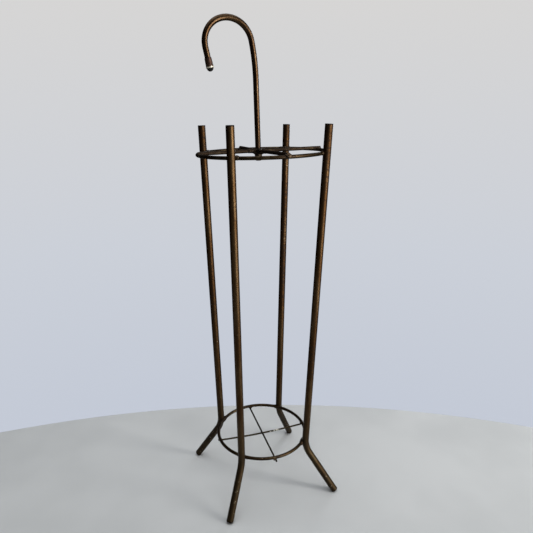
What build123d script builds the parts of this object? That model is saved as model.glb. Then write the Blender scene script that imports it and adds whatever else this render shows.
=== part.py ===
from build123d import *

import os
from math import cos, radians, sin, tan

# Free-standing brass umbrella stand, in millimetres, +Z up, origin on the floor midway between the feet.
# The legs stand at 45 degrees to the axes, the spokes and the wires run along the axes, and the crook
# hooks over towards -X.

# ---- Driving dimensions ---------------------------------------------------------------------------

# Legs: straight tubes that flare outward to the top and splay outward below the lower ring, cut and bent
# by hand, so that each has its own height and its foot its own splay and turn
LEG_DIA = 11.0
LEG_WALL = 1.0
LEG_TOPS = {"back_right": 586.5, "back_left": 585.2, "front_left": 587.6, "front_right": 589.2}
TOP_RING_REACH = 95.58      # from the stand's axis to a leg's centre line, at the upper ring
LEG_RING_REACH = 78.4       # the same at the lower ring
KNEE_DROP = 9.2             # from the lower ring down to the corner of the knee
KNEE_RADIUS = 45.0
FOOT_SPLAYS = {"back_right": 31.1, "back_left": 32.7, "front_left": 29.9, "front_right": 34.7}  # from upright
FOOT_TURNS = {"back_right": -6.8, "back_left": 4.2, "front_left": -0.6, "front_right": 7.4}  # seen from above
FOOT_WEAR = 0.6             # depth worn off the lowest edge of a foot

# Rings: round rod, let part way into the legs and brazed, the upper one a little out of level
ROD_DIA = 5.0
TOP_RING_Z = 548.8
TOP_RING_RADIUS = 91.0
TOP_RING_TILT = 1.6         # degrees
TOP_RING_LOW_SIDE = 160.0   # azimuth of its lowest point
LOWER_RING_Z = 87.0
LOWER_RING_RADIUS = 73.1
SEAT_GAP = 0.05             # gap between a rod and its notch, or a plug and its bore

# End plugs of the leg tubes
PLUG_HEAD = 1.5
PLUG_STUB = 9.0
PLUG_CHAMFER = 0.4

# Spokes: four rods from the upper ring to the crook's stem
SPOKE_RISE = 2.8            # centre line above the ring's centre line; the end is saddled to suit
SPOKE_OVERHANG = 2.0        # how far an end passes the ring's centre line
HUB_OFFSET = 5.5            # the stem stands off centre, towards the hook

# Crook: one tube, a stem that leans to the hook and three arcs of different radius
CROOK_DIA = 8.0
CROOK_WALL = 1.0
STEM_DROP = 12.0            # from the spokes' centre line to the stem's lower end
STEM_LEAN = 1.9             # degrees
STEM_TOP_Z = 644.6
HOOK_ARCS = ((272.7, 10.2), (33.3, 100.3), (29.9, 80.1))    # radius, degrees
HOOK_TAIL = 24.0            # straight length from the last arc to the tube's end

# Ferrule and tip on the hook's end
FERRULE_OVERLAP = 11.0      # how far the ferrule reaches up the tube
FERRULE_START_DIA = 9.2
FERRULE_END_DIA = 10.0
BEAD_DIA = 10.6             # rolled rim at the ferrule's end
BEAD_HEIGHT = 1.2
TIP_DIA = 9.0
TIP_HEIGHT = 4.4
TIP_STUB = 8.0

# Wires under the lower ring
WIRE_DIA = 2.8
WIRE_TURN = -4.0            # degrees away from the axes, seen from above
WIRE_HALF_LENGTHS = {"front_back": 77.8, "left_right": 75.6}

# Braze beads
RING_BEAD = (11.0, 4.2)     # half length along the ring, radius at the middle
SPOKE_BEAD = (9.0, 4.7)
WIRE_BEAD_RADIUS = 3.0
HUB_COLLAR = (9.0, 6.4)     # half height along the stem, radius at the middle
HUB_COLLAR_DROP = 2.5       # its middle below the spokes' centre line
HUB_ARM = (16.0, 4.2)       # half length along the spokes, radius at the middle

LEG_AZIMUTHS = {"back_right": 45, "back_left": 135, "front_left": 225, "front_right": 315}
SPOKE_AZIMUTHS = {"right": 0, "back": 90, "left": 180, "front": 270}

# ---- Sizes that follow ------------------------------------------------------------------------------

ROD_RADIUS = ROD_DIA / 2
LEG_RADIUS = LEG_DIA / 2
LEG_BORE = LEG_RADIUS - LEG_WALL
CROOK_RADIUS = CROOK_DIA / 2
CROOK_BORE = CROOK_RADIUS - CROOK_WALL
WIRE_RADIUS = WIRE_DIA / 2
TIP_SPHERE = (TIP_DIA**2 / 4 + TIP_HEIGHT**2) / (2 * TIP_HEIGHT)

LEG_FLARE = (TOP_RING_REACH - LEG_RING_REACH) / (TOP_RING_Z - LOWER_RING_Z)
KNEE_Z = LOWER_RING_Z - KNEE_DROP
KNEE_REACH = LEG_RING_REACH - KNEE_DROP * LEG_FLARE

SPOKE_Z = TOP_RING_Z + SPOKE_RISE
HUB = Vector(-HUB_OFFSET, 0, SPOKE_Z)
WIRE_Z = LOWER_RING_Z - ROD_RADIUS - WIRE_RADIUS
UP = Vector(0, 0, 1)


# ---- Helpers ------------------------------------------------------------------------------------------

def around(azimuth, reach, z=0.0):
    """The point at an azimuth, a distance from the stand's axis and a height."""
    return Vector(reach * cos(radians(azimuth)), reach * sin(radians(azimuth)), z)


def upright_plane(azimuth):
    """The upright plane through the stand's axis, its x outward at the azimuth and its y up."""
    outward = around(azimuth, 1)
    return Plane(origin=(0, 0, 0), x_dir=outward, z_dir=outward.cross(UP))


def save(piece, label):
    """Labels a finished piece and writes its STEP file."""
    piece.part.label = label
    export_step(piece.part, f"parts/{label}.step")


def lens(origin, direction, half_length, radius):
    """A round bead, fattest in the middle and tapering to a point at both ends."""
    along = Plane(origin=origin, x_dir=direction, z_dir=direction.cross(Vector(0.3, 0.2, 1)))
    with BuildPart() as bead:
        with BuildSketch(along):
            with BuildLine():
                ThreePointArc((-half_length, 0), (0, radius), (half_length, 0))
                Line((half_length, 0), (-half_length, 0))
            make_face()
        revolve(axis=Axis(origin, direction))
    return bead.part


def rod(start, end, radius):
    """A straight round rod between two points."""
    with BuildPart() as bar:
        with BuildSketch(Plane(origin=start, z_dir=end - start)):
            Circle(radius)
        extrude(amount=(end - start).length)
    return bar.part


def hoop(radius, z, tilt, thickness):
    """A ring of round rod about the stand's axis, tilted down to the upper ring's low side."""
    normal = around(TOP_RING_LOW_SIDE, sin(radians(tilt)), cos(radians(tilt)))
    with BuildPart() as ring:
        with Locations(Plane(origin=(0, 0, z), z_dir=normal)):
            Torus(radius, thickness)
    return ring.part


def on_hoop(azimuth, radius, z, tilt):
    """The point at an azimuth of the circle about which a tilted ring is built."""
    dip = radius * tan(radians(tilt)) * cos(radians(azimuth - TOP_RING_LOW_SIDE))
    return around(azimuth, radius, z - dip)


def ball(centre, radius):
    """A round bead about a point."""
    with BuildPart() as bead:
        with Locations(centre):
            Sphere(radius)
    return bead.part


def fitted(blank, *neighbours):
    """A blank less the pieces that it is fitted round."""
    with BuildPart() as piece:
        add(blank)
        for neighbour in neighbours:
            add(neighbour, mode=Mode.SUBTRACT)
    return piece.part


def bent_bar(route, radius):
    """A round bar of one radius along a route."""
    with BuildPart() as bar:
        with BuildSketch(Plane(origin=route @ 0, z_dir=route % 0)):
            Circle(radius)
        sweep(path=route)
    return bar.part


def plug(end, outward, head_radius, bore_radius, head, stub):
    """An end plug: a chamfered head that covers a tube's end and a stub that sits in its bore."""
    seat = Plane(origin=end, z_dir=outward)
    with BuildPart() as stopper:
        with BuildSketch(seat):
            Circle(head_radius)
        extrude(amount=head)
        chamfer(stopper.edges().sort_by(Axis(end, outward))[-1], PLUG_CHAMFER)
        with BuildSketch(seat):
            Circle(bore_radius - SEAT_GAP)
        extrude(amount=-stub)
    return stopper.part


def leg_route(azimuth, top_z, splay, turn):
    """A leg's centre line: straight, a knee and the foot, between the heads of its two plugs."""
    foot_z = LEG_RADIUS * sin(radians(splay)) - FOOT_WEAR
    top = around(azimuth, KNEE_REACH + (top_z - KNEE_Z) * LEG_FLARE, top_z)
    knee = around(azimuth, KNEE_REACH, KNEE_Z)
    foot = knee + around(azimuth + turn, (KNEE_Z - foot_z) * tan(radians(splay)), foot_z - KNEE_Z)
    tube_top = top + (knee - top).normalized() * PLUG_HEAD
    tube_foot = foot + (knee - foot).normalized() * PLUG_HEAD
    with BuildLine(Plane(origin=knee, x_dir=knee - top, z_dir=(knee - top).cross(foot - knee))) as route:
        FilletPolyline(tube_top, knee, tube_foot, radius=KNEE_RADIUS)
    return route.line


def crook_route():
    """The crook's centre line: the leaning stem, three arcs and the straight tail."""
    lean = around(180, sin(radians(STEM_LEAN)), cos(radians(STEM_LEAN)))
    stem_foot = HUB - lean * STEM_DROP
    stem_top = HUB + lean * ((STEM_TOP_Z - SPOKE_Z) / lean.Z)
    with BuildLine(upright_plane(180)) as route:
        last = Line(stem_foot, stem_top)
        for radius, turn in HOOK_ARCS:
            last = JernArc(last @ 1, last % 1, radius, -turn)
        Line(last @ 1, last @ 1 + last % 1 * HOOK_TAIL)
    return route.line


# ---- Rings --------------------------------------------------------------------------------------------

os.makedirs("parts", exist_ok=True)

RING_SIZES = {
    "top_ring": (TOP_RING_RADIUS, TOP_RING_Z, TOP_RING_TILT),
    "lower_ring": (LOWER_RING_RADIUS, LOWER_RING_Z, 0.0),
}
rings = {}
for label, size in RING_SIZES.items():
    with BuildPart() as ring:
        add(hoop(*size, ROD_RADIUS))
    save(ring, label)
    rings[label] = ring.part

# ---- Legs and their plugs -------------------------------------------------------------------------------

leg_bars = {}
for place, azimuth in LEG_AZIMUTHS.items():
    route = leg_route(azimuth, LEG_TOPS[place], FOOT_SPLAYS[place], FOOT_TURNS[place])
    leg_bars[place] = bent_bar(route, LEG_RADIUS)

    notches = [hoop(*size, ROD_RADIUS + SEAT_GAP) for size in RING_SIZES.values()]
    with BuildPart() as leg:
        add(fitted(leg_bars[place], bent_bar(route, LEG_BORE), *notches))
    save(leg, f"leg_{place}")

    with BuildPart() as top_plug:
        add(plug(route @ 0, route % 0 * -1, LEG_RADIUS, LEG_BORE, PLUG_HEAD, PLUG_STUB))
    save(top_plug, f"top_plug_{place}")

    with BuildPart() as foot_plug:
        add(plug(route @ 1, route % 1, LEG_RADIUS, LEG_BORE, PLUG_HEAD, PLUG_STUB))
        split(bisect_by=Plane.XY, keep=Keep.TOP)
    save(foot_plug, f"foot_plug_{place}")

# ---- Crook, its ferrule and plugs ---------------------------------------------------------------------

crook_line = crook_route()
crook_bar = bent_bar(crook_line, CROOK_RADIUS)
with BuildPart() as crook_tube:
    add(fitted(crook_bar, bent_bar(crook_line, CROOK_BORE)))
save(crook_tube, "crook_tube")

with BuildPart() as stem_plug:
    add(plug(crook_line @ 0, crook_line % 0 * -1, CROOK_RADIUS, CROOK_BORE, PLUG_HEAD, PLUG_STUB))
save(stem_plug, "crook_stem_plug")

# The ferrule is turned about the tail's axis, its x along the axis from the tube's end
tail_end = crook_line @ 1
tail = Plane(origin=tail_end, x_dir=crook_line % 1, z_dir=(0, 1, 0))
tail_axis = Axis(tail_end, crook_line % 1)
with BuildPart() as crook_ferrule:
    with BuildSketch(tail):
        with BuildLine():
            Polyline(
                (0, BEAD_DIA / 2 - BEAD_HEIGHT / 2),
                (0, FERRULE_END_DIA / 2),
                (-FERRULE_OVERLAP, FERRULE_START_DIA / 2),
                (-FERRULE_OVERLAP, CROOK_RADIUS + SEAT_GAP),
                (BEAD_HEIGHT, CROOK_RADIUS + SEAT_GAP),
                (BEAD_HEIGHT, BEAD_DIA / 2 - BEAD_HEIGHT / 2),
                (0, BEAD_DIA / 2 - BEAD_HEIGHT / 2),
            )
        make_face()
        with Locations((BEAD_HEIGHT / 2, BEAD_DIA / 2 - BEAD_HEIGHT / 2)):
            Circle(BEAD_HEIGHT / 2)
    revolve(axis=tail_axis)
save(crook_ferrule, "crook_ferrule")

with BuildPart() as crook_tip:
    with BuildSketch(tail):
        with BuildLine():
            Polyline(
                (-TIP_STUB, 0),
                (-TIP_STUB, CROOK_BORE - SEAT_GAP),
                (0, CROOK_BORE - SEAT_GAP),
                (0, CROOK_RADIUS),
                (BEAD_HEIGHT, CROOK_RADIUS),
                (BEAD_HEIGHT, TIP_DIA / 2),
            )
            RadiusArc((BEAD_HEIGHT, TIP_DIA / 2), (BEAD_HEIGHT + TIP_HEIGHT, 0), TIP_SPHERE)
            Line((BEAD_HEIGHT + TIP_HEIGHT, 0), (-TIP_STUB, 0))
        make_face()
    revolve(axis=tail_axis)
save(crook_tip, "crook_tip")

# ---- Spokes -----------------------------------------------------------------------------------------------

spoke_bars = {}
for side, azimuth in SPOKE_AZIMUTHS.items():
    end = on_hoop(azimuth, TOP_RING_RADIUS + SPOKE_OVERHANG, SPOKE_Z, TOP_RING_TILT)
    spoke_bars[side] = rod(HUB, end, ROD_RADIUS)

    with BuildPart() as spoke:
        add(fitted(spoke_bars[side], crook_bar, rings["top_ring"]))
    save(spoke, f"spoke_{side}")

# ---- Wires ------------------------------------------------------------------------------------------------

# The left-right wire bows down by one wire's thickness to pass under the other
WIRE_AZIMUTHS = {"front_back": 90 + WIRE_TURN, "left_right": WIRE_TURN}
WIRE_BOWS = {"front_back": 0.0, "left_right": WIRE_DIA}
wire_bars = {}
for run, azimuth in WIRE_AZIMUTHS.items():
    half_length = WIRE_HALF_LENGTHS[run]
    with BuildLine(upright_plane(azimuth)) as line:
        if WIRE_BOWS[run]:
            ThreePointArc((-half_length, WIRE_Z), (0, WIRE_Z - WIRE_BOWS[run]), (half_length, WIRE_Z))
        else:
            Line((-half_length, WIRE_Z), (half_length, WIRE_Z))
    with BuildPart() as wire:
        add(bent_bar(line.line, WIRE_RADIUS))
    save(wire, f"wire_{run}")
    wire_bars[run] = wire.part

# ---- Braze ------------------------------------------------------------------------------------------------

for label, size in RING_SIZES.items():
    with BuildPart() as ring_braze:
        for place, azimuth in LEG_AZIMUTHS.items():
            bead = lens(on_hoop(azimuth, *size), around(azimuth + 90, 1), *RING_BEAD)
            add(fitted(bead, rings[label], leg_bars[place]))
    save(ring_braze, f"{label}_braze")

with BuildPart() as spoke_braze:
    for side, azimuth in SPOKE_AZIMUTHS.items():
        middle = on_hoop(azimuth, TOP_RING_RADIUS, TOP_RING_Z + SPOKE_RISE / 2, TOP_RING_TILT)
        bead = lens(middle, around(azimuth + 90, 1), *SPOKE_BEAD)
        add(fitted(bead, rings["top_ring"], spoke_bars[side]))
save(spoke_braze, "spoke_braze")

with BuildPart() as wire_braze:
    for run, azimuth in WIRE_AZIMUTHS.items():
        for turned in (azimuth, azimuth + 180):
            bead = ball(around(turned, LOWER_RING_RADIUS, WIRE_Z + WIRE_RADIUS / 2), WIRE_BEAD_RADIUS)
            add(fitted(bead, rings["lower_ring"], wire_bars[run]))
save(wire_braze, "wire_braze")

with BuildPart() as hub_braze:
    add(lens(HUB - UP * HUB_COLLAR_DROP, crook_line % 0, *HUB_COLLAR))
    for azimuth in (0, 90):
        add(lens(HUB, around(azimuth, 1), *HUB_ARM))
    add(crook_bar, mode=Mode.SUBTRACT)
    for bar in spoke_bars.values():
        add(bar, mode=Mode.SUBTRACT)
save(hub_braze, "hub_braze")
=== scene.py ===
"""The looks of an aged brass umbrella stand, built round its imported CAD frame.

Lengths are in metres in the frame of the CAD model: +Z is up, the origin is on the floor on the
stand's axis, and the crook hooks over towards -X.
"""

import logging
import math
import random
from collections.abc import Iterable, Iterator
from dataclasses import dataclass, replace
from enum import Enum
from typing import Any, Union

import bmesh
import bpy
from mathutils import Matrix, Vector, noise


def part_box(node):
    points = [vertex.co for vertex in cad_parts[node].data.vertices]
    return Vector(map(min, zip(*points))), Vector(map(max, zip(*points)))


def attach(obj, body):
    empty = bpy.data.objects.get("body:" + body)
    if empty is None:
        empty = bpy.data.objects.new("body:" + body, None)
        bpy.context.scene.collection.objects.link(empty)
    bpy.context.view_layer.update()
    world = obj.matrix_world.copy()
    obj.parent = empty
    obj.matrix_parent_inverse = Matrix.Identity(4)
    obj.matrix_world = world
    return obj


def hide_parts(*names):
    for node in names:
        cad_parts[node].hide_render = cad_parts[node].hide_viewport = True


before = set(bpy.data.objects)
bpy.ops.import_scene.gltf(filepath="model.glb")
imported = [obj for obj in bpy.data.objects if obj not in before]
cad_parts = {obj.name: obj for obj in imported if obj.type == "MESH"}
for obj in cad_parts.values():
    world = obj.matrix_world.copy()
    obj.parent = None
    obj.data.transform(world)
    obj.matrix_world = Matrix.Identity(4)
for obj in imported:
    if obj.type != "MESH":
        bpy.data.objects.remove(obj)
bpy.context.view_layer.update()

BODY = "root"
MM = 0.001

log = logging.getLogger("umbrella_stand")

Colour = tuple[float, float, float]
Tones = tuple[tuple[float, Colour], ...]


class Corner(Enum):
    """The four legs, with their azimuths seen from above, in degrees."""

    BACK_RIGHT = 45.0
    BACK_LEFT = 135.0
    FRONT_LEFT = 225.0
    FRONT_RIGHT = 315.0

    @property
    def label(self) -> str:
        """The corner's name as the CAD nodes spell it."""
        return self.name.lower()


class Side(Enum):
    """The four spokes, with their azimuths seen from above, in degrees."""

    RIGHT = 0.0
    BACK = 90.0
    LEFT = 180.0
    FRONT = 270.0

    @property
    def label(self) -> str:
        """The side's name as the CAD nodes spell it."""
        return self.name.lower()


# ---- Places read from the frame --------------------------------------------------------

def middle(node: str) -> Vector:
    """The middle of a CAD node's box."""
    low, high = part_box(node)
    return (low + high) / 2


def centroid(node: str) -> Vector:
    """The mean of a CAD node's vertices."""
    points = [vertex.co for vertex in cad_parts[node].data.vertices]
    return sum(points, Vector()) / len(points)


def outward(azimuth: float) -> Vector:
    """The level unit vector at an azimuth in degrees."""
    return Vector((math.cos(math.radians(azimuth)), math.sin(math.radians(azimuth)), 0.0))


@dataclass(frozen=True)
class Hoop:
    """One rod ring, as the frame has it.

    Attributes:
        node: The ring's CAD node.
        height: The height of its centre line on the stand's axis.
        slope: How much it rises along +X and +Y.
        rod_radius: The radius of its rod.
        reach: The radius of its centre line.
    """

    node: str
    height: float
    slope: tuple[float, float]
    rod_radius: float
    reach: float

    @classmethod
    def read(cls, node: str) -> "Hoop":
        """Measures a ring from its vertices.

        Args:
            node: The ring's CAD node.

        Returns:
            The ring's sizes.
        """
        points = [vertex.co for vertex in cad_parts[node].data.vertices]
        low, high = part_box(node)
        height = (low.z + high.z) / 2
        reaches = [point.xy.length for point in points]
        slope = tuple(
            sum(point[axis] * (point.z - height) for point in points)
            / sum(point[axis] ** 2 for point in points)
            for axis in (0, 1)
        )
        rod_radius = (max(reaches) - min(reaches)) / 2
        return cls(node, height, slope, rod_radius, max(reaches) - rod_radius)

    def point(self, azimuth: float, rise: float = 0.0) -> Vector:
        """A point of the centre line at an azimuth, raised by a little."""
        place = outward(azimuth) * self.reach
        place.z = self.height + rise + place.x * self.slope[0] + place.y * self.slope[1]
        return place


TOP_HOOP = Hoop.read("top_ring")
LOWER_HOOP = Hoop.read("lower_ring")
HUB = Vector((middle("crook_stem_plug").x, 0.0, middle("spoke_back").z))


# ---- Shader writing --------------------------------------------------------------------

Term = Union["Signal", float]


class Signal:
    """One number that varies over a surface, written with ordinary operators."""

    def __init__(self, bench: "Bench", socket: bpy.types.NodeSocket) -> None:
        """Wraps a node's output.

        Args:
            bench: The material being written.
            socket: The output that carries the number.
        """
        self.bench = bench
        self.socket = socket

    def _maths(self, operation: str, *terms: Term) -> "Signal":
        """Adds one Math node."""
        node = self.bench.add("ShaderNodeMath", {"operation": operation}, dict(enumerate(terms)))
        return Signal(self.bench, node.outputs[0])

    def __add__(self, other: Term) -> "Signal":
        """self + other."""
        return self._maths("ADD", self, other)

    __radd__ = __add__

    def __sub__(self, other: Term) -> "Signal":
        """self - other."""
        return self._maths("SUBTRACT", self, other)

    def __rsub__(self, other: Term) -> "Signal":
        """other - self."""
        return self._maths("SUBTRACT", other, self)

    def __mul__(self, other: Term) -> "Signal":
        """self * other."""
        return self._maths("MULTIPLY", self, other)

    __rmul__ = __mul__

    def __abs__(self) -> "Signal":
        """The size of self."""
        return self._maths("ABSOLUTE", self)

    def least(self, other: Term) -> "Signal":
        """The smaller of self and other."""
        return self._maths("MINIMUM", self, other)

    def most(self, other: Term) -> "Signal":
        """The larger of self and other."""
        return self._maths("MAXIMUM", self, other)

    def step(self, start: float, end: float) -> "Signal":
        """A smooth step.

        Args:
            start: Where the step is 0.
            end: Where the step is 1, above or below start.

        Returns:
            0 to 1.
        """
        low, high = min(start, end), max(start, end)
        node = self.bench.add(
            "ShaderNodeMapRange",
            {"interpolation_type": "SMOOTHSTEP"},
            {"Value": self, "From Min": low, "From Max": high},
        )
        rise = Signal(self.bench, node.outputs["Result"])
        return rise if end > start else 1 - rise


class Bench:
    """Writes the nodes of one material or world."""

    def __init__(self, block: bpy.types.Material | bpy.types.World, place: str = "Object") -> None:
        """Empties a material or a world.

        Args:
            block: The material or world.
            place: The texture coordinate that its patterns follow.
        """
        self.block = block
        block.use_nodes = True
        self.tree = block.node_tree
        self.tree.nodes.clear()
        self.place = self.add("ShaderNodeTexCoord").outputs[place]

    def add(
        self,
        kind: str,
        settings: dict[str, Any] | None = None,
        inputs: dict[Any, Any] | None = None,
    ) -> bpy.types.Node:
        """Adds any node.

        Args:
            kind: The node's type.
            settings: Its properties; "stops" holds a ramp's (place, colour) pairs.
            inputs: Its sockets, by name or number, with a value, a Signal or an output socket each.

        Returns:
            The node.
        """
        node = self.tree.nodes.new(kind)
        for key, value in (settings or {}).items():
            if key == "stops":
                self._set_stops(node.color_ramp, value)
            else:
                setattr(node, key, value)
        for key, value in (inputs or {}).items():
            if isinstance(value, Signal):
                value = value.socket
            if isinstance(value, bpy.types.NodeSocket):
                self.tree.links.new(value, node.inputs[key])
            else:
                node.inputs[key].default_value = value
        return node

    @staticmethod
    def _set_stops(ramp: bpy.types.ColorRamp, stops: list[tuple[float, tuple[float, ...]]]) -> None:
        """Gives a ramp its stops."""
        while len(ramp.elements) < len(stops):
            ramp.elements.new(0.5)
        for element, (place, colour) in zip(ramp.elements, stops):
            element.position = place
            element.color = (*colour, 1.0)

    def stretched(self, squeeze: tuple[float, float, float]) -> bpy.types.NodeSocket:
        """The place on the surface with each axis scaled."""
        inputs = {0: self.place, 1: squeeze}
        return self.add("ShaderNodeVectorMath", {"operation": "MULTIPLY"}, inputs).outputs["Vector"]

    def axes(self) -> tuple[Signal, Signal, Signal]:
        """The three coordinates of the place on the surface."""
        node = self.add("ShaderNodeSeparateXYZ", None, {0: self.place})
        x, y, z = (Signal(self, socket) for socket in node.outputs)
        return x, y, z

    def along(self, origin: Vector, direction: Vector) -> Signal:
        """How far the place on the surface lies from a plane.

        Args:
            origin: A point of the plane.
            direction: The plane's unit normal.

        Returns:
            The signed distance.
        """
        inputs = {0: self.place, 1: origin}
        shift = self.add("ShaderNodeVectorMath", {"operation": "SUBTRACT"}, inputs)
        inputs = {0: shift.outputs["Vector"], 1: direction}
        node = self.add("ShaderNodeVectorMath", {"operation": "DOT_PRODUCT"}, inputs)
        return Signal(self, node.outputs["Value"])

    def cloud(
        self,
        grain: float,
        detail: float = 3.0,
        squeeze: tuple[float, float, float] = (1.0, 1.0, 1.0),
        roughness: float = 0.55,
    ) -> Signal:
        """Soft noise about 0.5.

        Args:
            grain: The size of its patches, in metres.
            detail: The number of finer layers.
            squeeze: The scale of each axis, under 1 where the patches are long.
            roughness: The strength of the finer layers.

        Returns:
            0 to 1.
        """
        inputs = {
            "Vector": self.stretched(squeeze),
            "Scale": 1 / grain,
            "Detail": detail,
            "Roughness": roughness,
        }
        return Signal(self, self.add("ShaderNodeTexNoise", None, inputs).outputs[0])

    def specks(self, spacing: float, radius: float) -> Signal:
        """Small round specks, one to each cell.

        Args:
            spacing: The mean distance between specks.
            radius: The radius of a speck.

        Returns:
            1 inside a speck, 0 outside.
        """
        node = self.add("ShaderNodeTexVoronoi", None, {"Vector": self.place, "Scale": 1 / spacing})
        return Signal(self, node.outputs["Distance"]).step(radius / spacing, radius / spacing / 2)

    def blend(self, share: Signal, under: Any, over: Any) -> bpy.types.NodeSocket:
        """Mixes two colours.

        Args:
            share: How much of the upper colour shows.
            under: The lower colour, or the output that carries it.
            over: The upper colour, or the output that carries it.

        Returns:
            The output with the mixed colour.
        """
        settings = {"data_type": "RGBA", "clamp_factor": True}
        under, over = (
            tone if isinstance(tone, bpy.types.NodeSocket) else (*tone, 1.0)
            for tone in (under, over)
        )
        node = self.add("ShaderNodeMix", settings, {"Factor": share, 6: under, 7: over})
        return node.outputs[2]

    def ramp(self, place: Signal, tones: Tones) -> bpy.types.NodeSocket:
        """A colour ramp.

        Args:
            place: The place along the ramp.
            tones: Its (place, colour) stops.

        Returns:
            The output with the colour.
        """
        return self.add("ShaderNodeValToRGB", {"stops": tones}, {"Fac": place}).outputs["Color"]

    def bump(self, height: Signal, depth: float, strength: float = 1.0) -> bpy.types.NodeSocket:
        """A Bump node.

        Args:
            height: The relief, 0 to 1.
            depth: What 1 stands for, in metres.
            strength: How much of the relief shows.

        Returns:
            The output with the normal.
        """
        inputs = {"Height": height, "Distance": depth, "Strength": strength}
        return self.add("ShaderNodeBump", None, inputs).outputs["Normal"]

    def surface(self, inputs: dict[str, Any]) -> bpy.types.Material:
        """Ends the material with its shader.

        Args:
            inputs: The Principled shader's sockets.

        Returns:
            The material.
        """
        shader = self.add("ShaderNodeBsdfPrincipled", None, inputs)
        self.add("ShaderNodeOutputMaterial", None, {"Surface": shader.outputs["BSDF"]})
        return self.block


# ---- Finishes --------------------------------------------------------------------------

FOOT_DUST: Colour = (0.019, 0.0155, 0.0085)
FERRULE_RUB: Colour = (0.16, 0.095, 0.055)
SPATTER_CREAM: Colour = (0.70, 0.68, 0.60)


class Heat(Enum):
    """Where a finish is scorched by the torch that brazed the joints."""

    NOWHERE = 0
    LEGS_AT_RINGS = 1
    HOOP_AT_JOINTS = 2
    STEM_AT_HUB = 3


@dataclass(frozen=True)
class AgedBrass:
    """Brass that has gone brown, worn back to metal here and there.

    Attributes:
        name: The material's name.
        patina: The brown that covers most of it.
        metal: The brass that shows through.
        tarnish: The darkest stains.
        fleck: The pale worn flecks.
        wear: How much of the brass shows, 0 to 1.
        flecks: How many flecks show, 0 to 1.
        roughness: The mean roughness.
        heat: Where it is scorched.
        scorch: How dark the scorching is.
        drawn: The scale of each axis of its streaks, small along the bar.
        relief: The depth of its dents and pits.
        foot_grey: Whether it turns olive and dull towards the floor.
        spattered_at: The x of a patch of pale paint spatter, if it has one.
    """

    name: str
    patina: Colour = (0.033, 0.0150, 0.0044)
    metal: Colour = (0.061, 0.0365, 0.0160)
    tarnish: Colour = (0.012, 0.0058, 0.0026)
    fleck: Colour = (0.42, 0.35, 0.25)
    wear: float = 0.5
    flecks: float = 0.35
    roughness: float = 0.44
    heat: Heat = Heat.NOWHERE
    scorch: float = 1.5
    drawn: tuple[float, float, float] = (1.0, 1.0, 0.10)
    relief: float = 0.03 * MM
    foot_grey: bool = False
    spattered_at: float | None = None

    def _scorch(self, bench: Bench) -> Signal | None:
        """The torch's stain, 0 to 1, or None."""
        x, y, z = bench.axes()
        if self.heat is Heat.LEGS_AT_RINGS:
            reach = abs(z - TOP_HOOP.height).least(abs(z - LOWER_HOOP.height))
            return reach.step(17 * MM, 3 * MM)
        if self.heat is Heat.HOOP_AT_JOINTS:
            corner = abs(abs(x) - abs(y))
            spoke = abs(x).least(abs(y))
            return corner.least(spoke).step(16 * MM, 3 * MM)
        if self.heat is Heat.STEM_AT_HUB:
            return abs(z - HUB.z).step(26 * MM, 4 * MM)
        return None

    def make(self) -> bpy.types.Material:
        """Writes the material.

        Returns:
            The material.
        """
        bench = Bench(bpy.data.materials.new(self.name))
        broad = bench.cloud(46 * MM, 2.0, tuple(scale**0.5 for scale in self.drawn))
        mottle = bench.cloud(7 * MM, 4.0, self.drawn)
        blotch = bench.cloud(3.2 * MM, 3.0)
        streak = bench.cloud(1.1 * MM, 3.0, self.drawn, 0.7)
        worn = broad * 0.3 + mottle * 0.45 + streak * 0.25
        rubbed = worn.step(0.56 - 0.2 * self.wear, 0.70 - 0.2 * self.wear)
        stain = (broad * 0.5 + blotch * 0.5).step(0.50, 0.34)
        scorch = self._scorch(bench)
        if scorch is not None:
            stain = stain.most(scorch * blotch * self.scorch)
        colour = bench.blend(rubbed, self.patina, self.metal)
        colour = bench.blend(stain * 0.85, colour, self.tarnish)
        chipped_patches = bench.cloud(19 * MM).step(0.66 - 0.2 * self.flecks, 0.72)
        chipped = bench.specks(5.5 * MM, 0.75 * MM) * chipped_patches
        scratched = bench.cloud(0.9 * MM, 2.0, self.drawn).step(0.71, 0.78) * mottle.step(0.48, 0.6)
        bare = chipped.most(scratched * self.flecks)
        dull = stain * 0.18 + blotch * 0.14
        x, _, z = bench.axes()
        if self.foot_grey:
            low = z.step(190 * MM, 40 * MM)
            colour = bench.blend(low * (0.25 + mottle * 0.7), colour, FOOT_DUST)
            dull = dull + low * 0.12
            scuffed = z.step(95 * MM, 50 * MM) * bench.cloud(9 * MM).step(0.50, 0.60)
            bare = bare.most(bench.specks(3.2 * MM, 0.75 * MM) * scuffed)
        if self.spattered_at is not None:
            patch = abs(x - self.spattered_at).step(11 * MM, 7 * MM)
            bare = bare.most(bench.specks(2.2 * MM, 1.3 * MM) * patch)
        colour = bench.blend(bare, colour, self.fleck)
        relief = mottle * 0.5 + streak * 0.2 + blotch * 0.3 - bare * 0.15
        return bench.surface(
            {
                "Base Color": colour,
                "Metallic": 0.94 - stain * 0.15 - bare * 0.75,
                "Roughness": self.roughness - 0.07 + dull - bare * 0.08,
                "Normal": bench.bump(relief, self.relief),
                "Specular IOR Level": 0.3,
            }
        )


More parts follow.
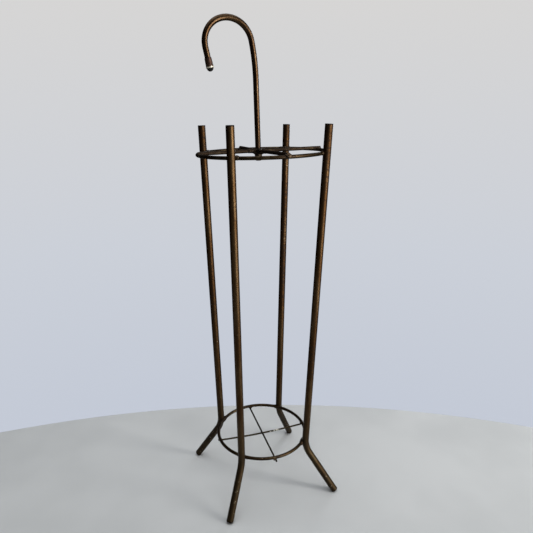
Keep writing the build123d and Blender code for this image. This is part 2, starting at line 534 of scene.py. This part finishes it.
@dataclass(frozen=True)
class RolledRim:
    """The ferrule: dark brown, its rolled rim rubbed bright.

    Attributes:
        name: The material's name.
        body: The brown of the sleeve.
        shadow: The dark in its hollows.
        rim: The bright worn metal.
        rim_width: How far up from the rim's edge the wear reaches.
    """

    name: str
    body: Colour = (0.038, 0.017, 0.010)
    shadow: Colour = (0.012, 0.006, 0.004)
    rim: Colour = (0.74, 0.68, 0.54)
    rim_width: float = 1.9 * MM

    def make(self) -> bpy.types.Material:
        """Writes the material.

        Returns:
            The material.
        """
        bench = Bench(bpy.data.materials.new(self.name))
        tip, sleeve = centroid("crook_tip"), centroid("crook_ferrule")
        axis = (tip - sleeve).normalized()
        edge = max(v.co.dot(axis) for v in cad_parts["crook_ferrule"].data.vertices)
        depth = bench.along(axis * edge, -axis)
        mottle = bench.cloud(2.6 * MM, 4.0)
        grain = bench.cloud(0.8 * MM, 3.0)
        worn = (depth + mottle * 1.2 * MM).step(
            self.rim_width + 0.9 * MM, self.rim_width - 0.1 * MM
        )
        rubbed = mottle.step(0.5, 0.72) * 0.35
        colour = bench.blend(mottle.step(0.5, 0.36), self.body, self.shadow)
        colour = bench.blend(rubbed, colour, FERRULE_RUB)
        colour = bench.blend(worn, colour, self.rim)
        return bench.surface(
            {
                "Base Color": colour,
                "Metallic": 0.8 - worn * 0.55,
                "Roughness": 0.46 + grain * 0.12 - worn * 0.12,
                "Normal": bench.bump(mottle * 0.6 + grain * 0.4, 0.12 * MM),
            }
        )


@dataclass(frozen=True)
class DarkTip:
    """The domed tip: near black, with a dull sheen.

    Attributes:
        name: The material's name.
        body: Its colour.
        scuff: The colour of its scuffs.
    """

    name: str
    body: Colour = (0.005, 0.0042, 0.004)
    scuff: Colour = (0.045, 0.038, 0.030)

    def make(self) -> bpy.types.Material:
        """Writes the material.

        Returns:
            The material.
        """
        bench = Bench(bpy.data.materials.new(self.name))
        grain = bench.cloud(0.6 * MM, 3.0)
        scuffed = bench.cloud(1.8 * MM, 4.0).step(0.56, 0.68)
        return bench.surface(
            {
                "Base Color": bench.blend(scuffed * 0.6, self.body, self.scuff),
                "Roughness": 0.6 + grain * 0.2,
                "Specular IOR Level": 0.12,
                "Normal": bench.bump(grain, 0.05 * MM),
            }
        )


@dataclass(frozen=True)
class PaintedBoard:
    """The table's dull pale paint.

    Attributes:
        name: The material's name.
        light: The paint's colour.
        worn: The colour of its cloudy patches.
    """

    name: str
    light: Colour = (0.60, 0.62, 0.63)
    worn: Colour = (0.54, 0.56, 0.57)

    def make(self) -> bpy.types.Material:
        """Writes the material.

        Returns:
            The material.
        """
        bench = Bench(bpy.data.materials.new(self.name))
        patches = bench.cloud(0.24, 3.0)
        grain = bench.cloud(4 * MM, 4.0)
        return bench.surface(
            {
                "Base Color": bench.blend(patches.step(0.35, 0.7), self.light, self.worn),
                "Roughness": 0.7 + grain * 0.15,
                "Specular IOR Level": 0.05,
                "Normal": bench.bump(grain, 0.05 * MM),
            }
        )


def dress(piece: bpy.types.Object, material: bpy.types.Material) -> None:
    """Gives a piece one material in place of those it has."""
    piece.data.materials.clear()
    piece.data.materials.append(material)


def dress_node(node: str, material: bpy.types.Material) -> None:
    """Gives a CAD node one material and reports it."""
    dress(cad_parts[node], material)
    log.info("dressed %s in %s", node, material.name)


# ---- Sub-assemblies --------------------------------------------------------------------

@dataclass
class Legs:
    """The four bent tubes with their end plugs."""

    tube: AgedBrass = AgedBrass(
        "leg_tube_brass",
        heat=Heat.LEGS_AT_RINGS,
        scorch=0.6,
        foot_grey=True,
    )
    plug: AgedBrass = AgedBrass(
        "plug_brass",
        patina=(0.010, 0.006, 0.004),
        metal=(0.030, 0.019, 0.011),
        wear=0.35,
        flecks=0.2,
        roughness=0.42,
        drawn=(1.0, 1.0, 1.0),
    )

    def dress(self) -> None:
        """Dresses the tubes and plugs."""
        tube, plug = self.tube.make(), self.plug.make()
        for corner in Corner:
            dress_node(f"leg_{corner.label}", tube)
            dress_node(f"top_plug_{corner.label}", plug)
            dress_node(f"foot_plug_{corner.label}", plug)


@dataclass
class Hoops:
    """The two rod rings with the spokes and the wires.

    Attributes:
        rod: The finish of the rings and spokes.
        wire: The finish of the wires.
        spatter_at: The x of the paint spatter on the left-right wire.
    """

    rod: AgedBrass = AgedBrass(
        "ring_rod_brass",
        patina=(0.019, 0.0115, 0.0048),
        metal=(0.055, 0.039, 0.020),
        wear=0.4,
        flecks=0.5,
        roughness=0.40,
        heat=Heat.HOOP_AT_JOINTS,
        drawn=(1.0, 1.0, 1.0),
    )
    wire: AgedBrass = AgedBrass(
        "wire_brass",
        patina=(0.018, 0.0135, 0.006),
        metal=(0.045, 0.034, 0.017),
        wear=0.25,
        flecks=0.3,
        roughness=0.48,
        drawn=(1.0, 1.0, 1.0),
        relief=0.06 * MM,
    )
    spatter_at: float = 21.0 * MM

    def dress(self) -> None:
        """Dresses the rings, spokes and wires."""
        rod, wire = self.rod.make(), self.wire.make()
        spattered = replace(
            self.wire,
            name="spattered_wire_brass",
            spattered_at=self.spatter_at,
            fleck=SPATTER_CREAM,
        ).make()
        for node in (TOP_HOOP.node, LOWER_HOOP.node):
            dress_node(node, rod)
        for side in Side:
            dress_node(f"spoke_{side.label}", rod)
        dress_node("wire_front_back", wire)
        dress_node("wire_left_right", spattered)


@dataclass
class Crook:
    """The stem and hook with its stem plug, ferrule and tip."""

    tube: AgedBrass = AgedBrass(
        "crook_tube_brass",
        patina=(0.031, 0.0155, 0.0063),
        metal=(0.048, 0.0290, 0.0145),
        wear=0.6,
        flecks=0.10,
        roughness=0.31,
        heat=Heat.STEM_AT_HUB,
        drawn=(0.7, 0.7, 0.35),
        relief=0.006 * MM,
    )
    plug: AgedBrass = AgedBrass(
        "stem_plug_brass",
        patina=(0.028, 0.016, 0.009),
        wear=0.3,
        drawn=(1.0, 1.0, 1.0),
    )
    ferrule: RolledRim = RolledRim("ferrule_brass")
    tip: DarkTip = DarkTip("dark_tip")

    def dress(self) -> None:
        """Dresses the crook's four pieces."""
        dress_node("crook_tube", self.tube.make())
        dress_node("crook_stem_plug", self.plug.make())
        dress_node("crook_ferrule", self.ferrule.make())
        dress_node("crook_tip", self.tip.make())


@dataclass(frozen=True)
class Lump:
    """One gob of braze in a run.

    Attributes:
        place: Its middle.
        along: The unit vector along which it is stretched.
        length: Its half length.
        radius: Its radius across.
    """

    place: Vector
    along: Vector
    length: float
    radius: float


@dataclass
class BrazeRun:
    """One hand-run joint of braze, several gobs melted into each other.

    Attributes:
        name: The piece's name.
        node: The CAD node that it stands for.
        lumps: Its gobs.
        seed: What its dents are drawn from.
        voxel: The size of the mesh's cells.
        dents: The depth of its dents.
    """

    name: str
    node: str
    lumps: list[Lump]
    seed: int
    voxel: float = 0.55 * MM
    dents: float = 0.55 * MM

    def _blank(self) -> bpy.types.Object:
        """The gobs as overlapping closed shapes in one mesh."""
        shape = bmesh.new()
        for lump in self.lumps:
            turn = lump.along.to_track_quat("Z", "Y").to_matrix().to_4x4()
            size = Matrix.Diagonal((lump.radius, lump.radius, lump.length, 1.0))
            place = Matrix.Translation(lump.place) @ turn @ size
            bmesh.ops.create_icosphere(shape, subdivisions=4, radius=1.0, matrix=place)
        mesh = bpy.data.meshes.new(self.name)
        shape.to_mesh(mesh)
        shape.free()
        piece = bpy.data.objects.new(self.name, mesh)
        bpy.context.scene.collection.objects.link(piece)
        return piece

    def _melt(self, piece: bpy.types.Object) -> None:
        """Runs the gobs into one skin."""
        remesh = piece.modifiers.new("melt", "REMESH")
        remesh.mode = "VOXEL"
        remesh.voxel_size = self.voxel
        smooth = piece.modifiers.new("soften", "SMOOTH")
        smooth.factor = 0.5
        smooth.iterations = 6
        evaluated = piece.evaluated_get(bpy.context.evaluated_depsgraph_get())
        melted = bpy.data.meshes.new_from_object(evaluated)
        piece.modifiers.clear()
        piece.data = melted

    def _dent(self, piece: bpy.types.Object) -> None:
        """Moves the skin in and out by noise."""
        draw = random.Random(self.seed)
        shift = Vector((draw.uniform(0, 50), draw.uniform(0, 50), draw.uniform(0, 50)))
        moves = []
        for vertex in piece.data.vertices:
            broad = noise.noise(vertex.co / (3.4 * MM) + shift)
            fine = noise.noise(vertex.co / (1.2 * MM) - shift)
            moves.append(vertex.normal * (broad * self.dents + fine * self.dents * 0.35))
        for vertex, move in zip(piece.data.vertices, moves):
            vertex.co += move
        piece.data.polygons.foreach_set("use_smooth", [True] * len(piece.data.polygons))
        piece.data.update()

    def build(self, material: bpy.types.Material) -> bpy.types.Object:
        """Builds the piece, dresses it and puts it on the frame.

        Args:
            material: Its finish.

        Returns:
            The piece.
        """
        piece = self._blank()
        self._melt(piece)
        self._dent(piece)
        dress(piece, material)
        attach(piece, BODY)
        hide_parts(self.node)
        log.info("built %s with %d faces", self.name, len(piece.data.polygons))
        return piece


@dataclass
class Braze:
    """Every brazed joint: legs, spokes and wires to their rings, and the hub.

    Attributes:
        finish: The braze's finish.
        leg_run: Half length and radius of the gobs where a leg meets a ring.
        leg_bridge: The same for the gob behind the leg that joins them.
        leg_aside: How far the gobs stand to each side of the leg's middle.
        bridge_inset: How far the joining gob lies inside the ring's centre line.
        spoke_run: The same where a spoke lies on the upper ring.
        back_share: How large the back spoke's gobs are beside the others.
        wire_run: The same where a wire crosses under the lower ring.
    """

    finish: AgedBrass = AgedBrass(
        "braze",
        patina=(0.018, 0.0115, 0.0065),
        metal=(0.066, 0.046, 0.028),
        tarnish=(0.010, 0.006, 0.004),
        wear=0.4,
        flecks=0.6,
        roughness=0.44,
        drawn=(1.0, 1.0, 1.0),
        relief=0.2 * MM,
    )
    leg_run: tuple[float, float] = (5.2 * MM, 3.0 * MM)
    leg_bridge: tuple[float, float] = (8.5 * MM, 3.1 * MM)
    leg_aside: float = 5.6 * MM
    bridge_inset: float = 0.6 * MM
    spoke_run: tuple[float, float] = (5.0 * MM, 3.2 * MM)
    back_share: float = 0.85
    wire_run: tuple[float, float] = (3.4 * MM, 2.2 * MM)

    def _beside_leg(self, hoop: Hoop, corner: Corner, draw: random.Random) -> list[Lump]:
        """The gobs each side of a leg, in the crease between it and a ring."""
        length, radius = self.leg_run
        lumps = []
        for way in (-1.0, 1.0):
            tangent = outward(corner.value + 90) * way
            swing = draw.uniform(0.8, 1.25)
            seat = hoop.point(corner.value, draw.uniform(-0.6, 0.6) * MM)
            place = seat + tangent * self.leg_aside
            lumps.append(Lump(place, tangent, length * swing, radius * draw.uniform(0.9, 1.12)))
        bridge = hoop.point(corner.value) - outward(corner.value) * self.bridge_inset
        lumps.append(Lump(bridge, outward(corner.value + 90), *self.leg_bridge))
        return lumps

    def _on_hoop(self, side: Side, draw: random.Random) -> list[Lump]:
        """The gobs round a spoke's end on the upper ring."""
        length, radius = self.spoke_run
        if side is Side.BACK:
            radius *= self.back_share
        tangent = outward(side.value + 90)
        seat = TOP_HOOP.point(side.value, 0.8 * MM)
        lumps = [Lump(seat, tangent, length * 1.25, radius)]
        for way in (-1.0, 1.0):
            swing = draw.uniform(2.2, 4.2) * MM
            place = seat + tangent * way * swing - outward(side.value) * draw.uniform(0.0, 3.0) * MM
            half = length * draw.uniform(0.6, 0.95)
            lumps.append(Lump(place, outward(side.value), half, radius * 0.8))
        return lumps

    def _under_hoop(self, azimuth: float, draw: random.Random) -> list[Lump]:
        """The gobs where a wire crosses under the lower ring."""
        length, radius = self.wire_run
        tangent = outward(azimuth + 90)
        place = LOWER_HOOP.point(azimuth, -LOWER_HOOP.rod_radius)
        return [
            Lump(place + tangent * 0.9 * MM, tangent, length * draw.uniform(0.9, 1.15), radius),
            Lump(
                place - tangent * 0.9 * MM,
                outward(azimuth),
                length * draw.uniform(0.8, 1.0),
                radius * 0.9,
            ),
        ]

    def _round_hub(self, draw: random.Random) -> list[Lump]:
        """The gobs round the stem and along the first stretch of each spoke."""
        up = Vector((0.0, 0.0, 1.0))
        lumps = [
            Lump(HUB - up * 3.0 * MM, up, 7.0 * MM, 5.6 * MM),
            Lump(HUB, up, 5.2 * MM, 6.2 * MM),
        ]
        for side in Side:
            for reach, girth in ((6.0, 4.0), (10.5, 3.6), (14.0, 3.1)):
                sway = outward(side.value + 90) * draw.uniform(-0.7, 0.7) * MM
                lift = up * draw.uniform(-0.7, 0.6) * MM
                place = HUB + outward(side.value) * reach * MM + sway + lift
                half = draw.uniform(3.0, 4.6) * MM
                lumps.append(Lump(place, outward(side.value), half, girth * MM))
        return lumps

    def build(self) -> None:
        """Builds and dresses every joint."""
        material = self.finish.make()
        draw = random.Random(11)
        runs = []
        for hoop in (TOP_HOOP, LOWER_HOOP):
            for corner in Corner:
                name = f"braze_{hoop.node}_leg_{corner.label}"
                runs.append((name, f"{hoop.node}_braze", self._beside_leg(hoop, corner, draw)))
        for side in Side:
            runs.append((f"braze_spoke_{side.label}", "spoke_braze", self._on_hoop(side, draw)))
        for name, azimuth in self._wire_ends():
            runs.append((f"braze_wire_{name}", "wire_braze", self._under_hoop(azimuth, draw)))
        runs.append(("braze_hub", "hub_braze", self._round_hub(draw)))
        for seed, (name, node, lumps) in enumerate(runs):
            BrazeRun(name, node, lumps, seed).build(material)

    @staticmethod
    def _wire_ends() -> Iterator[tuple[str, float]]:
        """Each wire's two ends, with their azimuths in degrees."""
        wires = (("wire_left_right", ("right", "left")), ("wire_front_back", ("back", "front")))
        for node, names in wires:
            points = [vertex.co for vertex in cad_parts[node].data.vertices]
            tip = max(points, key=lambda point: point.x + point.y)
            azimuth = math.degrees(math.atan2(tip.y, tip.x))
            yield names[0], azimuth
            yield names[1], azimuth + 180


# ---- Stage -----------------------------------------------------------------------------

AIM_HEIGHT = 0.33


@dataclass(frozen=True)
class Lamp:
    """One soft rectangular lamp that faces the stand.

    Attributes:
        name: Its name.
        azimuth: Where it stands round the object, in degrees.
        height: Its height over the floor.
        reach: Its distance from the stand's axis.
        size: Its width and height.
        power: Its power in watts.
        colour: Its colour.
        sheen_only: Whether it shows in sheen alone and leaves the table as it is.
    """

    name: str
    azimuth: float
    height: float
    reach: float
    size: tuple[float, float]
    power: float
    colour: Colour
    sheen_only: bool = False

    def build(self) -> None:
        """Makes the lamp and aims it at the middle of the stand."""
        light = bpy.data.lights.new(self.name, "AREA")
        light.shape = "RECTANGLE"
        light.size, light.size_y = self.size
        light.energy = self.power
        light.color = self.colour
        lamp = bpy.data.objects.new(self.name, light)
        lamp.visible_diffuse = not self.sheen_only
        bpy.context.scene.collection.objects.link(lamp)
        lamp.location = outward(self.azimuth) * self.reach + Vector((0.0, 0.0, self.height))
        aim = Vector((0.0, 0.0, AIM_HEIGHT)) - lamp.location
        lamp.rotation_euler = aim.to_track_quat("-Z", "Y").to_euler()


@dataclass
class Studio:
    """The table, the surroundings and the lamps.

    Attributes:
        table: The table's paint.
        table_radius: The radius of its top.
        table_thickness: The thickness of its top.
        edge_behind: How far its edge lies behind the stand.
        heading: The azimuth from the stand to that edge, in degrees.
        edge_round: The radius of its rounded edge.
        painted_wall_light: The tones of the wall that the camera sees, from low to high: painted
            light and shade on a plain wall, darker and bluer low, paler and warmer high.
        room_tones: The tones that light the stand, from in front of it to behind it.
        lamps: The lamps.
    """

    table: PaintedBoard = PaintedBoard("table_paint")
    table_radius: float = 1.68
    table_thickness: float = 0.03
    edge_behind: float = 0.21
    heading: float = 69.8
    edge_round: float = 0.008
    # Painted light and shade on the wall: darker and bluer low, paler and warmer high.
    painted_wall_light: Tones = (
        (0.0, (0.52, 0.565, 0.665)),
        (0.45, (0.60, 0.63, 0.69)),
        (1.0, (0.69, 0.675, 0.655)),
    )
    room_tones: Tones = (
        (0.0, (0.030, 0.022, 0.015)),
        (0.6, (0.012, 0.008, 0.005)),
        (0.85, (0.022, 0.018, 0.015)),
        (1.0, (0.085, 0.088, 0.09)),
    )
    lamps: tuple[Lamp, ...] = (
        Lamp("window", 322.0, 0.95, 1.7, (0.4, 1.4), 17.0, (1.0, 0.97, 0.93)),
        Lamp("window_sheen", 302.0, 0.5, 1.05, (0.30, 1.0), 23.0, (1.0, 0.985, 0.96), True),
        Lamp("ceiling", 250.0, 2.6, 0.1, (2.8, 2.8), 56.0, (0.97, 0.985, 1.0)),
        Lamp("back_fill", 40.0, 0.9, 1.8, (0.4, 1.2), 7.0, (0.95, 0.97, 1.0)),
    )

    def _top(self) -> bpy.types.Object:
        """The round table top."""
        shape = bmesh.new()
        bmesh.ops.create_circle(shape, cap_ends=True, segments=256, radius=self.table_radius)
        slab = bmesh.ops.extrude_face_region(shape, geom=shape.faces[:])
        down = Vector((0.0, 0.0, -self.table_thickness))
        corners = [part for part in slab["geom"] if isinstance(part, bmesh.types.BMVert)]
        bmesh.ops.translate(shape, verts=corners, vec=down)
        bmesh.ops.recalc_face_normals(shape, faces=shape.faces[:])
        mesh = bpy.data.meshes.new("table_top")
        shape.to_mesh(mesh)
        shape.free()
        top = bpy.data.objects.new("table_top", mesh)
        bpy.context.scene.collection.objects.link(top)
        top.location = outward(self.heading) * (self.edge_behind - self.table_radius)
        bevel = top.modifiers.new("edge", "BEVEL")
        bevel.width = self.edge_round
        bevel.segments = 4
        return top

    def _surroundings(self) -> None:
        """The wall that shows, with its light and shade painted in as tones from low to high, and
        the room that lights the brass.
        """
        world = bpy.data.worlds.new("room")
        bpy.context.scene.world = world
        bpy.context.scene.view_settings.view_transform = "Standard"
        bench = Bench(world, "Generated")
        _, _, rise = bench.axes()
        behind = bench.along(Vector(), outward(self.heading))
        # The wall's light and shade are painted: darker and bluer low, paler and warmer high.
        painted_wall = bench.ramp(rise + 0.7, self.painted_wall_light)
        felt = bench.ramp(behind * 0.5 + 0.5, self.room_tones)
        room, wall = (
            bench.add("ShaderNodeBackground", None, {"Color": tone}) for tone in (felt, painted_wall)
        )
        seen = bench.add("ShaderNodeLightPath").outputs["Is Camera Ray"]
        inputs = {0: seen, 1: room.outputs[0], 2: wall.outputs[0]}
        both = bench.add("ShaderNodeMixShader", None, inputs)
        bench.add("ShaderNodeOutputWorld", None, {"Surface": both.outputs[0]})

    def build(self) -> None:
        """Builds the table, the surroundings and the lamps."""
        top = self._top()
        dress(top, self.table.make())
        self._surroundings()
        for lamp in self.lamps:
            lamp.build()
        log.info("built the studio with %d lamps", len(self.lamps))


@dataclass
class Viewer:
    """The camera, a little above the stand and off its corner.

    Attributes:
        azimuth: Where it stands round the object, in degrees.
        reach: Its distance from the stand's axis.
        height: Its height over the floor.
        swing: How far it is turned off the stand's axis, in degrees.
        pitch: How far it looks down, in degrees.
        roll: How far it is tilted, in degrees.
        lens: The focal length in millimetres on the default sensor.
    """

    azimuth: float = 248.609
    reach: float = 0.6969
    height: float = 0.598
    swing: float = 0.592
    pitch: float = 17.422
    roll: float = 0.182
    lens: float = 32.31

    def build(self) -> None:
        """Makes the camera and gives it to the scene."""
        data = bpy.data.cameras.new("camera")
        data.lens = self.lens
        camera = bpy.data.objects.new("camera", data)
        bpy.context.scene.collection.objects.link(camera)
        heading = math.radians(self.azimuth + 180 - self.swing)
        pitch, roll = math.radians(self.pitch), math.radians(self.roll)
        level = Vector((math.cos(heading), math.sin(heading), 0.0))
        forward = level * math.cos(pitch) - Vector((0.0, 0.0, math.sin(pitch)))
        right = level.cross(Vector((0.0, 0.0, 1.0)))
        up = right.cross(forward)
        tilted_right = right * math.cos(roll) + up * math.sin(roll)
        tilted_up = up * math.cos(roll) - right * math.sin(roll)
        turn = Matrix((tilted_right, tilted_up, -forward)).transposed().to_4x4()
        place = outward(self.azimuth) * self.reach + Vector((0.0, 0.0, self.height))
        camera.matrix_world = Matrix.Translation(place) @ turn
        bpy.context.scene.camera = camera


def main() -> None:
    """Builds every sub-assembly, the stage and the camera in order."""
    logging.basicConfig(level=logging.INFO, format="%(message)s")
    Legs().dress()
    Hoops().dress()
    Crook().dress()
    Braze().build()
    Studio().build()
    Viewer().build()


if __name__ == "__main__":
    main()
